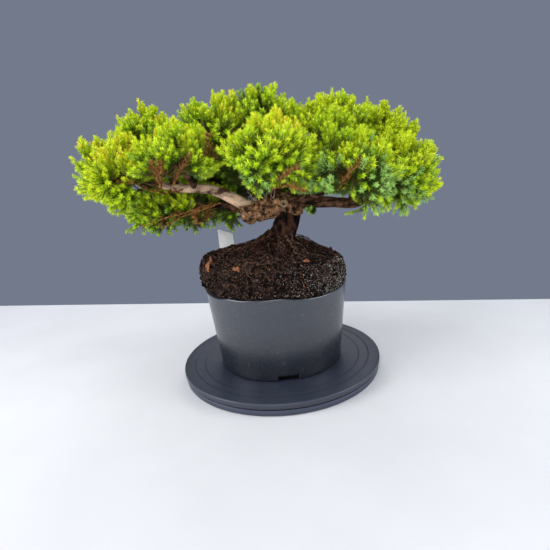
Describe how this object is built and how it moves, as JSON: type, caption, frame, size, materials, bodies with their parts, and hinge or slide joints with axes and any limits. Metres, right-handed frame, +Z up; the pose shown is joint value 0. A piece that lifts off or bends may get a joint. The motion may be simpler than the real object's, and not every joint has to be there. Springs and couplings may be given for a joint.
{
  "type": "potted bonsai tree",
  "caption": "Potted juniper bonsai: a leaning trunk with surface roots and a burl, spreading boughs and needle foliage, its root ball raised above a round pot on a flat turntable.",
  "frame": {"origin": "middle of the turntable's flat underside", "axes": "+Z up along the pot's axis, +X to the tree's right, -Y to its front as the picture shows it"},
  "size_m": [0.4165, 0.2813, 0.3451],
  "materials": {
    "turntable": "matte, dark blue-grey",
    "pot": "matte, slate grey, scuffed",
    "soil": "rough, dark, gritty",
    "label": "matte white",
    "trunk": "flaky bark",
    "bough": "smooth to flaky bark",
    "foliage": "soft needles"
  },
  "bodies": {
    "root": {"bough_front": "bough", "bough_left_front": "bough", "bough_left_high": "bough", "bough_left_mid": "bough", "bough_left_rear": "bough", "bough_left_tip": "bough", "bough_left_under": "bough", "bough_rear": "bough", "bough_right_front": "bough", "bough_right_high": "bough", "bough_right_rear": "bough", "bough_right_tip": "bough", "bough_right_top": "bough", "bough_top": "bough", "foliage_front": "foliage", "foliage_left_front": "foliage", "foliage_left_high": "foliage", "foliage_left_mid": "foliage", "foliage_left_rear": "foliage", "foliage_left_tip": "foliage", "foliage_left_under": "foliage", "foliage_rear": "foliage", "foliage_right_front": "foliage", "foliage_right_high": "foliage", "foliage_right_rear": "foliage", "foliage_right_tip": "foliage", "foliage_right_top": "foliage", "foliage_top": "foliage", "plant_label": "label", "pot": "pot", "soil": "soil", "trunk": "trunk", "turntable_base": "turntable", "turntable_plate": "turntable"}
  },
  "joints": []
}
